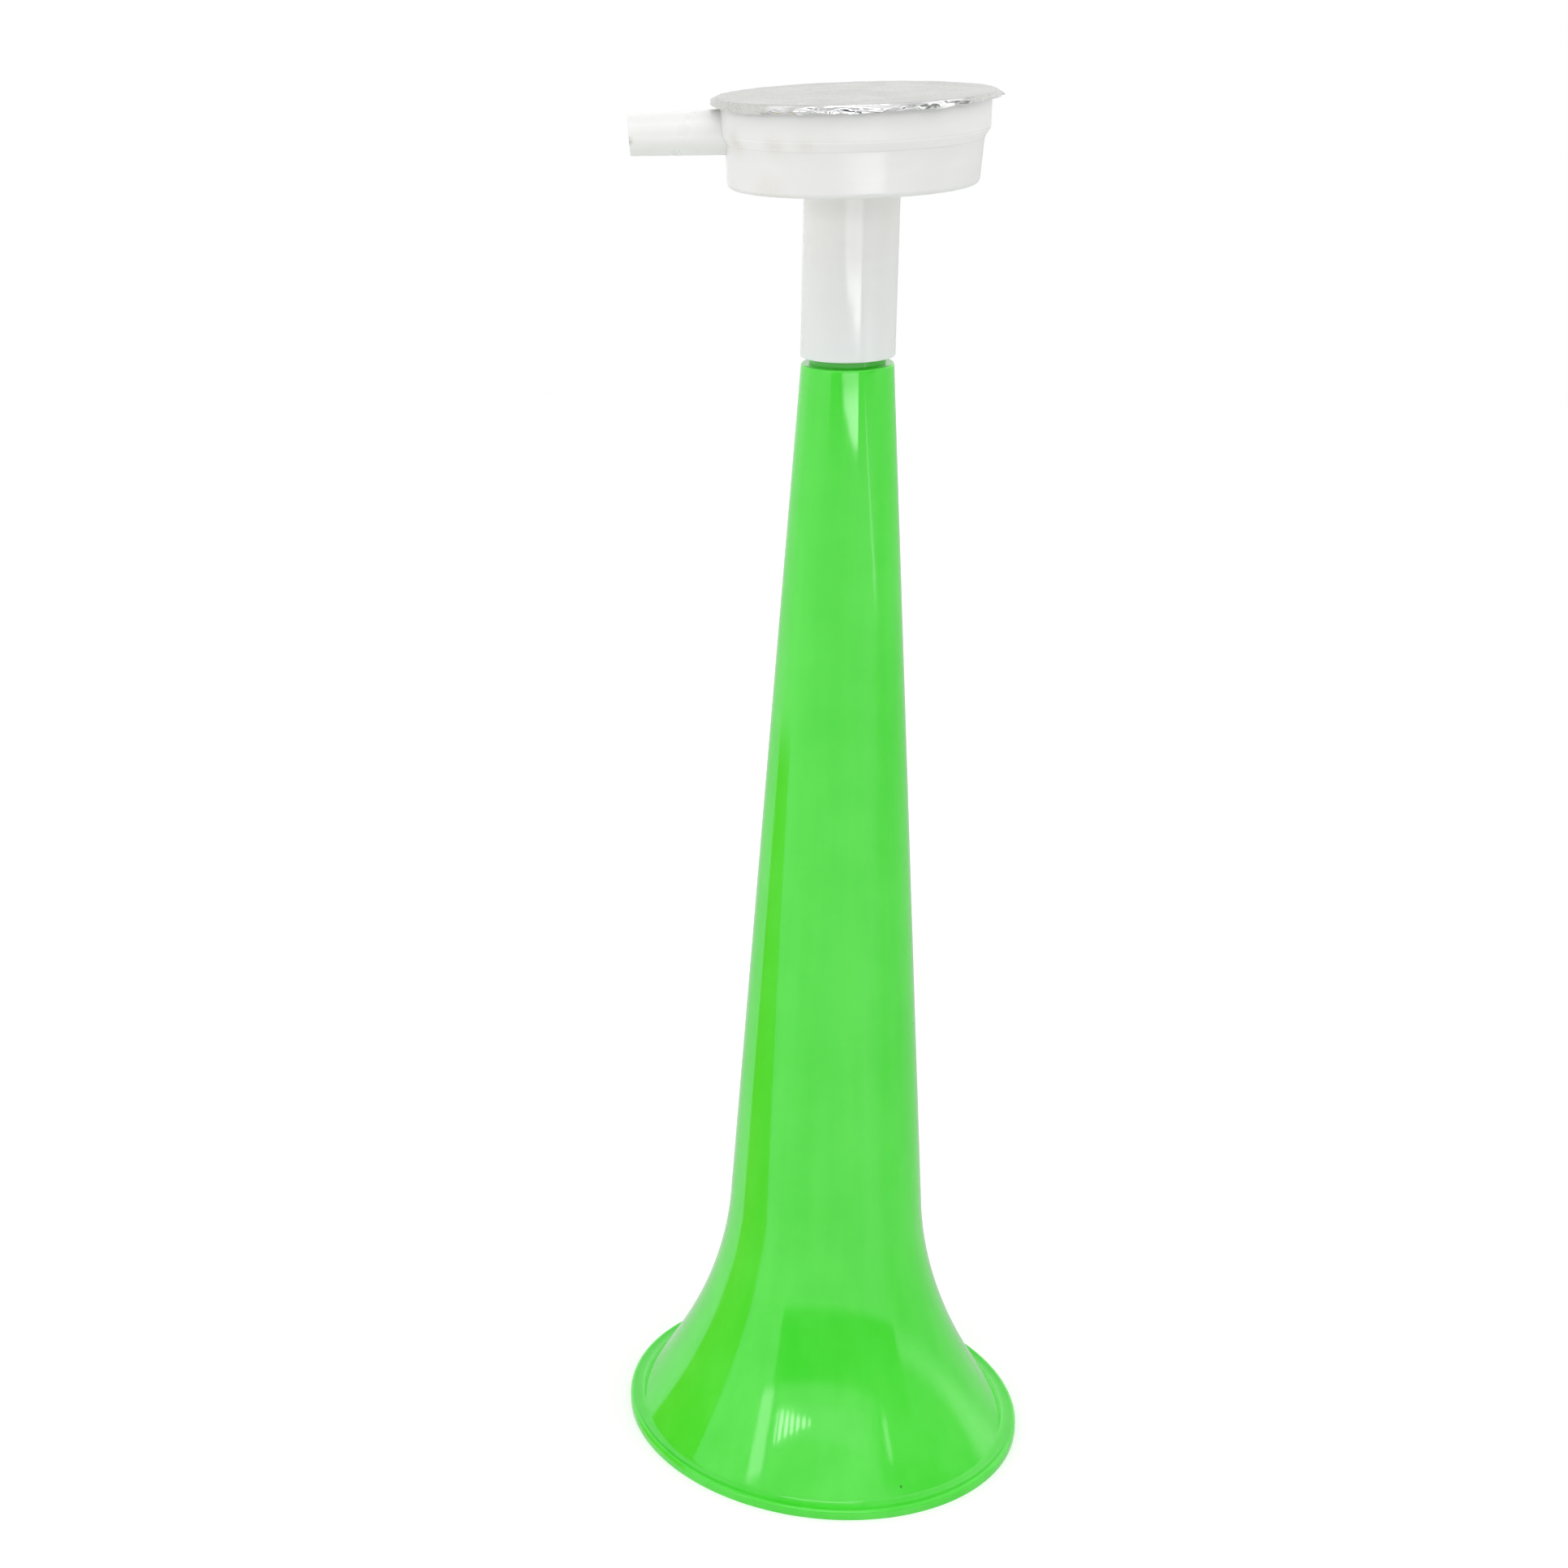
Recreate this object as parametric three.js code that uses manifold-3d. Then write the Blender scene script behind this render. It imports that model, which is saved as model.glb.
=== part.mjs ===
// A membrane fan horn: a flared plastic bell, a tube pushed onto the spigot at its upper end, and a stepped
// cup with a side blow pipe, closed by a foil membrane that the tube's upper lip stands just under.
// Lengths are in millimetres. The axis is Z, the bell's rim stands on Z = 0 and the blow pipe points along -X.

import * as THREE from "three";
import { mergeVertices } from "three/addons/utils/BufferGeometryUtils.js";
import Module from "manifold-3d";

// Horn: the flared bell and the straight cone
const bellRadius = 41;
const flangeWidth = 2.8;
const flangeThickness = 2;
const flangeEdgeRound = 0.7;
const flangeValleyDepth = 0.25;
const flareHeight = 51.4;
const flareTopRadius = 19.75;
const hornHeight = 230.05;
const hornWall = 1.4;

// Horn: the shoulder and the spigot above it
const spigotRadius = 7.16;
const spigotLength = 14;
const spigotLeadIn = 0.5;
const spigotWall = 1.5;
const shoulderWidth = 1.5;
const shoulderRound = 0.4;
const throatLength = 4;

// Tube over the spigot
const tubeWall = 1.36;
const tubeEdgeRound = 0.3;
const shoulderGap = 1.4;
const tubeReach = 31.85;

// Cup
const cupFootRadius = 22.9;
const cupTaper = 0.5;
const cupHeight = 16.1;
const cupWall = 1.4;
const cupCornerRound = 1.1;
const bandStep = 1.06;
const bandHeight = 6;
const stepHeight = 1.65;
const hubWall = 1.3;
const hubHeight = 5;

// Blow pipe
const pipeReach = 41.15;
const pipeEndRadius = 3.82;
const pipeRootRadius = 4.2;
const pipeBoreRadius = 3;
const pipeEndSlant = 0.35;
const pipeEndRound = 0.25;
const pipeCover = 1.2;
const pipeStandIn = 0.8;

// Foil membrane
const foilThickness = 0.3;
const foilOverhang = 0.86;
const skirtDrop = 1.3;
const skirtSpread = 0.7;
const skirtPleatDepth = 0.4;
const skirtPleatDrop = 0.2;

// Clearances and cuts
const fitClearance = 0.3;
const cutOverrun = 2;

// Fineness
const roundSegments = 72;
const pipeSegments = 32;
const foilSegments = 180;
const flareSteps = 10;
const cornerSteps = 2;
const mouthTurns = 40;

// Pleats of the foil's margin: each wave's count round the disc, and its share of the pleat depth
const pleatCounts = [45, 28, 17];
const pleatShares = [0.5, 0.3, 0.2];

// Radii and heights that follow from the sizes above
const spigotTop = hornHeight + spigotLength;
const spigotBore = spigotRadius - spigotWall;
const coneTopRadius = spigotRadius + shoulderWidth;
const tubeBore = spigotRadius + fitClearance;
const tubeRadius = tubeBore + tubeWall;
const tubeFoot = hornHeight + shoulderGap;
const cupFloor = tubeFoot + tubeReach;
const cupTop = cupFloor + cupHeight;
const cupRadius = cupFootRadius + cupTaper;
const bandRadius = cupRadius + bandStep;
const bandFoot = cupTop - bandHeight;
const stepFoot = bandFoot - stepHeight;
const foilUnderside = cupTop + fitClearance;
const pipeHeight = cupTop - pipeCover - pipeRootRadius - fitClearance;

// Slope of the straight cone, as radius gained per height climbed.
const coneSlope = (coneTopRadius - flareTopRadius) / (hornHeight - flareHeight);

// How much wider the flare is at the flange's root than the cone would be.
const flareBulge =
  bellRadius - flangeWidth - (flareTopRadius + coneSlope * (flangeThickness - flareHeight));

const wasm = await Module();
wasm.setup();

// A profile of (radius, height) turned about Z. It closes on itself, or starts and ends on the axis.
function turned(profile, segments = roundSegments) {
  const geometry = new THREE.LatheGeometry(profile.getPoints(cornerSteps), segments);
  return geometry.rotateX(Math.PI / 2);
}

// A geometry as a solid whose shared vertices are merged.
function solidFrom(geometry) {
  const bare = geometry.clone();
  bare.deleteAttribute("normal");
  bare.deleteAttribute("uv");
  const merged = mergeVertices(bare);
  return new wasm.Manifold(
    new wasm.Mesh({
      numProp: 3,
      vertProperties: new Float32Array(merged.attributes.position.array),
      triVerts: new Uint32Array(merged.index.array),
    }),
  );
}

// A solid back as a geometry with its own normals.
function geometryFrom(solid) {
  const { vertProperties, triVerts } = solid.getMesh();
  const geometry = new THREE.BufferGeometry();
  geometry.setAttribute("position", new THREE.BufferAttribute(vertProperties, 3));
  geometry.setIndex(new THREE.BufferAttribute(triVerts, 1));
  geometry.computeVertexNormals();
  return geometry;
}

function piece(name, geometry, material) {
  const mesh = new THREE.Mesh(geometry, material);
  mesh.name = name;
  return mesh;
}

// Outer radius and slope of the horn at a height. Below the flare's start a parabola is added to the cone,
// so the flare leaves it smoothly and meets the flange's root.
function hornLine(height) {
  const span = flareHeight - flangeThickness;
  const depth = Math.max(flareHeight - height, 0) / span;
  const radius = flareTopRadius + coneSlope * (height - flareHeight) + flareBulge * depth ** 2;
  const slope = coneSlope - (2 * flareBulge * depth) / span;
  return { radius, slope };
}

// The horn's outer surface at a height, moved inwards along its own normal by the wall.
function innerPoint(height) {
  const { radius, slope } = hornLine(height);
  const stretch = Math.hypot(1, slope);
  return new THREE.Vector2(radius - hornWall / stretch, height + (hornWall * slope) / stretch);
}

// The height whose inner point lies on the rim's plane, found by halving.
function mouthHeight() {
  let low = 0;
  let high = 2 * hornWall;
  for (let turn = 0; turn < mouthTurns; turn++) {
    const middle = (low + high) / 2;
    if (innerPoint(middle).y < 0) low = middle;
    else high = middle;
  }
  return high;
}

function hornBell() {
  const rimTop = flangeThickness - flangeEdgeRound;
  const outline = new THREE.Path();
  outline.moveTo(bellRadius, 0);
  outline.lineTo(bellRadius, rimTop);
  outline.absarc(bellRadius - flangeEdgeRound, rimTop, flangeEdgeRound, 0, Math.PI / 2);
  outline.quadraticCurveTo(
    bellRadius - flangeWidth / 2,
    flangeThickness - 2 * flangeValleyDepth,
    bellRadius - flangeWidth,
    flangeThickness,
  );
  for (let step = 1; step <= flareSteps; step++) {
    const height = THREE.MathUtils.lerp(flangeThickness, flareHeight, step / flareSteps);
    outline.lineTo(hornLine(height).radius, height);
  }
  outline.lineTo(hornLine(hornHeight - shoulderRound).radius, hornHeight - shoulderRound);
  outline.lineTo(coneTopRadius - shoulderRound, hornHeight);
  outline.lineTo(spigotRadius, hornHeight);
  outline.lineTo(spigotRadius, spigotTop - spigotLeadIn);
  outline.lineTo(spigotRadius - spigotLeadIn, spigotTop);
  outline.lineTo(spigotBore, spigotTop);
  outline.lineTo(spigotBore, hornHeight - hornWall);
  const throat = innerPoint(hornHeight - hornWall - throatLength);
  outline.lineTo(throat.x, throat.y);
  const mouth = mouthHeight();
  for (let step = flareSteps; step >= 0; step--) {
    const point = innerPoint(THREE.MathUtils.lerp(mouth, flareHeight, step / flareSteps));
    outline.lineTo(point.x, Math.max(point.y, 0));
  }
  outline.closePath();
  const material = new THREE.MeshStandardMaterial({ color: 0x4fdc45, roughness: 0.22, metalness: 0 });
  return piece("horn_bell", turned(outline), material);
}

function neckTube() {
  const outline = new THREE.Path();
  const lip = cupTop;
  outline.moveTo(tubeBore + tubeEdgeRound, tubeFoot);
  outline.lineTo(tubeRadius - tubeEdgeRound, tubeFoot);
  outline.absarc(tubeRadius - tubeEdgeRound, tubeFoot + tubeEdgeRound, tubeEdgeRound, -Math.PI / 2, 0);
  outline.lineTo(tubeRadius, lip - tubeEdgeRound);
  outline.absarc(tubeRadius - tubeEdgeRound, lip - tubeEdgeRound, tubeEdgeRound, 0, Math.PI / 2);
  outline.lineTo(tubeBore, lip);
  outline.lineTo(tubeBore, tubeFoot + tubeEdgeRound);
  outline.closePath();
  const material = new THREE.MeshStandardMaterial({ color: 0xeceeea, roughness: 0.35, metalness: 0 });
  return piece("neck_tube", turned(outline), material);
}

// The pipe's section about its own axis: the bore, the end inside the cup, the taper and the free end.
function pipeOutline() {
  const innerEnd = cupRadius - cupWall - pipeStandIn;
  const outline = new THREE.Path();
  outline.moveTo(pipeBoreRadius, innerEnd);
  outline.lineTo(pipeRootRadius, innerEnd);
  outline.lineTo(pipeRootRadius, bandRadius);
  outline.lineTo(pipeEndRadius, pipeReach - pipeEndRound);
  outline.lineTo(pipeEndRadius - pipeEndRound, pipeReach);
  outline.lineTo(pipeBoreRadius, pipeReach);
  outline.closePath();
  return outline;
}

// A profile about the blow pipe's axis, laid along -X at the pipe's height.
function alongPipe(profile) {
  const geometry = turned(profile, pipeSegments);
  geometry.rotateY(-Math.PI / 2);
  return geometry.translate(0, 0, pipeHeight);
}

function blowPipe() {
  const geometry = alongPipe(pipeOutline());
  const place = geometry.getAttribute("position");
  for (let index = 0; index < place.count; index++) {
    const isEnd = place.getX(index) < -(pipeReach - 2 * pipeEndRound);
    const lean = (place.getZ(index) - pipeHeight) / pipeEndRadius;
    if (isEnd) place.setX(index, place.getX(index) - pipeEndSlant * lean);
  }
  const material = new THREE.MeshStandardMaterial({ color: 0xf0f0ee, roughness: 0.3, metalness: 0 });
  return piece("blow_pipe", geometry, material);
}

// The hole in the cup's wall that the blow pipe plugs into.
function pipeHole() {
  const holeRadius = pipeRootRadius + fitClearance;
  const start = cupRadius - cupWall - cutOverrun;
  const end = bandRadius + cutOverrun;
  const outline = new THREE.Path();
  outline.moveTo(0, start);
  outline.lineTo(holeRadius, start);
  outline.lineTo(holeRadius, end);
  outline.lineTo(0, end);
  return alongPipe(outline);
}

function airCup() {
  const hubBore = tubeRadius + fitClearance;
  const hubRadius = hubBore + hubWall;
  const floorTop = cupFloor + cupWall;
  const cornerTop = cupFloor + cupCornerRound;
  const innerFoot = cupFootRadius - cupWall;
  const outline = new THREE.Path();
  outline.moveTo(hubBore, cupFloor);
  outline.lineTo(cupFootRadius - cupCornerRound, cupFloor);
  outline.absarc(cupFootRadius - cupCornerRound, cornerTop, cupCornerRound, -Math.PI / 2, 0);
  outline.lineTo(cupRadius, stepFoot);
  outline.lineTo(bandRadius, bandFoot);
  outline.lineTo(bandRadius, cupTop);
  outline.lineTo(bandRadius - cupWall, cupTop);
  outline.lineTo(bandRadius - cupWall, bandFoot);
  outline.lineTo(cupRadius - cupWall, stepFoot);
  outline.lineTo(innerFoot, floorTop + cupCornerRound);
  outline.lineTo(innerFoot - cupCornerRound, floorTop);
  outline.lineTo(hubRadius, floorTop);
  outline.lineTo(hubRadius, floorTop + hubHeight);
  outline.lineTo(hubBore, floorTop + hubHeight);
  outline.closePath();
  const whole = solidFrom(turned(outline));
  const pierced = whole.subtract(solidFrom(pipeHole()));
  const material = new THREE.MeshStandardMaterial({ color: 0xf2f2f0, roughness: 0.3, metalness: 0 });
  return piece("air_cup", geometryFrom(pierced), material);
}

// The pleats' depth at an angle, from -1 to 1.
function pleatWave(angle) {
  return pleatCounts.reduce((sum, count, index) => sum + pleatShares[index] * Math.sin(count * angle), 0);
}

// A closed surface through stacked rings from the pole above to the pole below. Each ring has a radius, a
// height, and how far the pleats move it outwards and down.
function ringStack(rings, topHeight, bottomHeight) {
  const positions = [0, 0, topHeight];
  for (const ring of rings) {
    for (let step = 0; step < foilSegments; step++) {
      const angle = (2 * Math.PI * step) / foilSegments;
      const wave = pleatWave(angle);
      const radius = ring.radius + ring.spread * wave;
      positions.push(radius * Math.cos(angle), radius * Math.sin(angle), ring.height + ring.drop * wave);
    }
  }
  positions.push(0, 0, bottomHeight);
  const lastRing = 1 + (rings.length - 1) * foilSegments;
  const bottomPole = 1 + rings.length * foilSegments;
  const faces = [];
  for (let step = 0; step < foilSegments; step++) {
    const next = (step + 1) % foilSegments;
    faces.push(0, 1 + step, 1 + next);
    for (let start = 1; start < lastRing; start += foilSegments) {
      const below = start + foilSegments;
      faces.push(start + step, below + step, below + next);
      faces.push(start + step, below + next, start + next);
    }
    faces.push(bottomPole, lastRing + next, lastRing + step);
  }
  const geometry = new THREE.BufferGeometry();
  geometry.setAttribute("position", new THREE.Float32BufferAttribute(positions, 3));
  geometry.setIndex(faces);
  geometry.computeVertexNormals();
  return geometry;
}

// The disc lies flat over the cup. Its margin turns down over the band and spreads into pleats.
function foilMembrane() {
  const foilTop = foilUnderside + foilThickness;
  const discRadius = bandRadius + foilOverhang;
  const bend = { radius: discRadius - foilThickness, height: foilTop, spread: 0, drop: 0 };
  const edge = { radius: discRadius, height: foilUnderside, spread: skirtPleatDepth / 4, drop: 0 };
  const hem = {
    radius: discRadius + skirtSpread,
    height: foilTop - skirtDrop,
    spread: skirtPleatDepth,
    drop: skirtPleatDrop,
  };
  const inward = (ring) => ({ ...ring, radius: ring.radius - foilThickness });
  const under = { ...bend, radius: bend.radius - foilThickness, height: foilUnderside };
  const rings = [bend, edge, hem, inward(hem), inward(edge), under];
  const material = new THREE.MeshStandardMaterial({ color: 0xcfcfcd, roughness: 0.45, metalness: 0.6 });
  return piece("foil_membrane", ringStack(rings, foilTop, foilUnderside), material);
}

const horn = new THREE.Group();
horn.add(hornBell(), neckTube(), airCup(), blowPipe(), foilMembrane());

export default horn;
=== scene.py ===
import logging
import math
from collections.abc import Callable
from dataclasses import dataclass
from enum import Enum

import bpy
import numpy as np
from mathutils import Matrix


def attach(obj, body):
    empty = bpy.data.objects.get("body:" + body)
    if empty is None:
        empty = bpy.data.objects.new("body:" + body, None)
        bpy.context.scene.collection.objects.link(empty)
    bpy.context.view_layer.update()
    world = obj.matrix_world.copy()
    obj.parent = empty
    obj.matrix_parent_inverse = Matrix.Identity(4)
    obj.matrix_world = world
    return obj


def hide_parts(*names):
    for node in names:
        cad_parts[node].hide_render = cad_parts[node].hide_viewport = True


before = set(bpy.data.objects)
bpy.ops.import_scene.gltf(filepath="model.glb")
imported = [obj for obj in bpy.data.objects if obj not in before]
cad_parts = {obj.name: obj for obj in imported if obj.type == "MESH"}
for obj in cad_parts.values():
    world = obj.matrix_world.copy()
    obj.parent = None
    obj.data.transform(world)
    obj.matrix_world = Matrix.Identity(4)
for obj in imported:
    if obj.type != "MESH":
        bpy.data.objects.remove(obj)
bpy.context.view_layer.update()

LOG = logging.getLogger("horn")
METRE = 0.001
SHARP_EDGE = 34.0
UP = (0.0, 0.0, 1.0)
Span = tuple[float, float]
Trio = tuple[float, float, float]
Colour = Trio
Array = np.ndarray
Piece = bpy.types.Object


def grey(value: float) -> Colour:
    """A colour without a tint."""
    return (value, value, value)


class Body(Enum):
    """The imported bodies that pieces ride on."""

    HORN = "horn"
    NECK = "neck"
    HEAD = "head"


class Slot(Enum):
    """The record's material slots."""

    GREEN = "green_plastic"
    TUBE = "white_tube_plastic"
    CUP = "white_cup_plastic"
    PIPE = "white_pipe_plastic"
    FOIL = "foil"


# Shader maths


def operator(operation: str, swapped: bool = False) -> Callable[..., "Wire"]:
    """A method that adds the Math node of self and other, or swapped, of other and self."""

    def method(self: "Wire", other: "Wire | float") -> "Wire":
        """Adds the node."""
        return self.maths(operation, *((other, self) if swapped else (self, other)))

    return method


class Wire:
    """An output socket whose arithmetic adds Math nodes."""

    def __init__(self, pen: "NodePen", socket: bpy.types.NodeSocket) -> None:
        """Args: pen writes the tree; socket is the output that is wrapped."""
        self.pen = pen
        self.socket = socket

    def maths(self, operation: str, *values: "Wire | float") -> "Wire":
        """The result of one Math node, whose inputs are the values in order."""
        return self.pen.node("ShaderNodeMath", dict(enumerate(values)), operation=operation)

    __add__ = operator("ADD")
    __sub__ = operator("SUBTRACT")
    __rsub__ = operator("SUBTRACT", swapped=True)
    __mul__ = __rmul__ = operator("MULTIPLY")
    __truediv__ = operator("DIVIDE")
    __gt__ = operator("GREATER_THAN")

    def __abs__(self) -> "Wire":
        """The size of self."""
        return self.maths("ABSOLUTE", self)


class NodePen:
    """Writes nodes into one tree."""

    def __init__(self, tree: bpy.types.NodeTree) -> None:
        """Args: tree is emptied and then written."""
        self.tree = tree
        tree.nodes.clear()

    def node(
        self, kind: str, inputs: dict | None = None, output: int | str = 0, **settings: object
    ) -> Wire:
        """Adds a node.

        Args:
            kind: the node's type.
            inputs: values or wires by socket index or name.
            output: the socket that is returned.
            settings: properties that are set first.

        Returns:
            The chosen output.
        """
        made = self.tree.nodes.new(kind)
        for name, value in settings.items():
            setattr(made, name, value)
        for name, value in (inputs or {}).items():
            socket = made.inputs[name]
            if isinstance(value, Wire):
                self.tree.links.new(value.socket, socket)
            elif isinstance(value, tuple) and socket.type == "RGBA":
                socket.default_value = (*value, 1.0)
            else:
                socket.default_value = value
        return Wire(self, made.outputs[output] if made.outputs else None)

    def place(self, name: str = "Object") -> Wire:
        """The texture coordinate of that name."""
        return self.node("ShaderNodeTexCoord", output=name)

    def vectors(self, operation: str, vector: Wire, other: Trio) -> Wire:
        """One Vector Math node, and its number where the operation gives one."""
        output = 0 if operation == "MULTIPLY" else "Value"
        inputs = {0: vector, 1: other}
        return self.node("ShaderNodeVectorMath", inputs, output, operation=operation)

    def along(self, vector: Wire, axis: Trio) -> Wire:
        """The vector's part along an axis."""
        return self.vectors("DOT_PRODUCT", vector, axis)

    def noise(self, vector: Wire, scale: float, detail: float = 2.0, twist: float = 0.0) -> Wire:
        """Smooth noise from 0 to 1 at that many blobs a metre."""
        inputs = {"Vector": vector, "Scale": scale, "Detail": detail, "Distortion": twist}
        return self.node("ShaderNodeTexNoise", inputs)

    def step(
        self, value: Wire, low: float, high: float, start: float = 0.0, end: float = 1.0
    ) -> Wire:
        """A smooth step from start, at low and below, to end, at high and above."""
        inputs = {0: value, 1: low, 2: high, 3: start, 4: end}
        return self.node("ShaderNodeMapRange", inputs, interpolation_type="SMOOTHSTEP")

    def within(self, value: Wire, low: float, high: float, soft: float) -> Wire:
        """1 between low and high, falling to 0 over the soft margins outside them."""
        rise = self.step(value, low - soft, low)
        return rise * self.step(value, high, high + soft, 1.0, 0.0)

    def blend(self, first: Wire, second: Wire, share: float) -> Wire:
        """Share of the first number and the rest of the second."""
        return first * share + second * (1 - share)

    def mix(self, share: Wire | float, first: Wire | Colour, second: Wire | Colour) -> Wire:
        """The first colour, going to the second as share goes from 0 to 1."""
        inputs = {0: share, 6: first, 7: second}
        return self.node("ShaderNodeMix", inputs, 2, data_type="RGBA", clamp_result=False)

    def bump(self, height: Wire, strength: float, depth: float) -> Wire:
        """A normal from a height, whose range of 1 stands for depth in metres."""
        inputs = {"Height": height, "Strength": strength, "Distance": depth}
        return self.node("ShaderNodeBump", inputs)


# Finishes


@dataclass(frozen=True)
class Finish:
    """A material that paints itself with nodes on object coordinates."""

    name: str

    def material(self) -> bpy.types.Material:
        """Makes the material."""
        made = bpy.data.materials.new(self.name)
        made.use_nodes = True
        pen = NodePen(made.node_tree)
        pen.node("ShaderNodeOutputMaterial", {"Surface": self.paint(pen)})
        return made

    def paint(self, pen: NodePen) -> Wire:
        """Writes the shader and returns it."""
        raise NotImplementedError


@dataclass(frozen=True)
class PaintedLightBand:
    """A ring of painted light and shade: a tint between two heights that fades over soft outside
    them, in millimetres.
    """

    low: float
    high: float
    soft: float
    tint: Colour
    share: float = 1.0


@dataclass(frozen=True)
class Stain:
    """A soft tinted place, in millimetres."""

    at: Trio
    reach: float
    share: float
    tint: Colour


@dataclass(frozen=True)
class Plastic(Finish):
    """A moulded plastic: cloudy and streaky between two tones, with tinted rings of painted light
    and shade, and stains.

    gloss is its range of roughness, cloud a noise's scale, detail and twist, and bleed how much
    light spreads under the surface. It has specks if speck_share is over 0.
    """

    body: Colour
    shade: Colour
    gloss: Span
    shade_range: Span = (0.3, 0.75)
    ior: float = 1.5
    bleed: float = 0.15
    bleed_colour: Colour = (1.0, 0.9, 0.8)
    bleed_reach: float = 0.002
    cloud: Trio = (70.0, 4.0, 0.4)
    cloud_share: float = 0.7
    cloud_relief: float = 0.5
    streak_scale: Trio = (90.0, 90.0, 700.0)
    streak_detail: float = 2.0
    streak_relief: float = 0.12
    grain_scale: float = 2300.0
    grain_relief: float = 0.03
    grain_rough: float = 0.04
    relief_depth: float = 0.00012
    speck: Colour = (0.01, 0.16, 0.01)
    speck_scale: float = 120.0
    speck_size: float = 0.045
    speck_chance: float = 0.5
    speck_share: float = 0.0
    painted_light_bands: tuple[PaintedLightBand, ...] = ()
    stains: tuple[Stain, ...] = ()

    def specks(self, pen: NodePen, place: Wire) -> Wire:
        """The share of a speck in the middle of each Voronoi cell that is picked."""
        cell = {"Vector": place, "Scale": self.speck_scale}
        near = pen.node("ShaderNodeTexVoronoi", cell, "Distance")
        pick = pen.node("ShaderNodeTexVoronoi", cell, "Color")
        few = pen.node("ShaderNodeSeparateColor", {0: pick}) > self.speck_chance
        speck = pen.step(near, self.speck_size / 2, self.speck_size, 1.0, 0.0) * few
        return speck * self.speck_share

    def paint(self, pen: NodePen) -> Wire:
        """Noises mix the tones and set gloss and relief, and each stain is a noisy spot."""
        place = pen.place()
        cloud = pen.noise(place, *self.cloud)
        drawn = pen.vectors("MULTIPLY", place, self.streak_scale)
        streak = pen.noise(drawn, 1.0, self.streak_detail)
        grain = pen.noise(place, self.grain_scale)
        shade = pen.step(pen.blend(cloud, streak, self.cloud_share), *self.shade_range)
        colour = pen.mix(shade, self.body, self.shade)
        if self.speck_share:
            colour = pen.mix(self.specks(pen, place), colour, self.speck)
        height = pen.along(place, UP)
        # Each ring paints light and shade into the colour by height.
        for band in self.painted_light_bands:
            low, high, soft = (x * METRE for x in (band.low, band.high, band.soft))
            seen = pen.within(height, low, high, soft) * band.share
            colour = pen.mix(seen, colour, band.tint)
        grainy = pen.step(grain, 0.3, 0.6, 0.5, 1.0)
        for stain in self.stains:
            x, y, z, reach = (x * METRE for x in (*stain.at, stain.reach))
            away = pen.vectors("DISTANCE", place, (x, y, z)) + (cloud - 0.5) * reach
            spot = pen.step(away, 0.0, reach, stain.share, 0.0)
            colour = pen.mix(spot * grainy, colour, stain.tint)
        rough = pen.step(cloud, 0.3, 0.7, *self.gloss) + grain * self.grain_rough
        relief = cloud * self.cloud_relief + streak * self.streak_relief
        return pen.node("ShaderNodeBsdfPrincipled", {
            "Base Color": colour,
            "Roughness": rough,
            "IOR": self.ior,
            "Subsurface Weight": self.bleed,
            "Subsurface Radius": self.bleed_colour,
            "Subsurface Scale": self.bleed_reach,
            "Normal": pen.bump(relief + grain * self.grain_relief, 0.5, self.relief_depth),
        })


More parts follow.
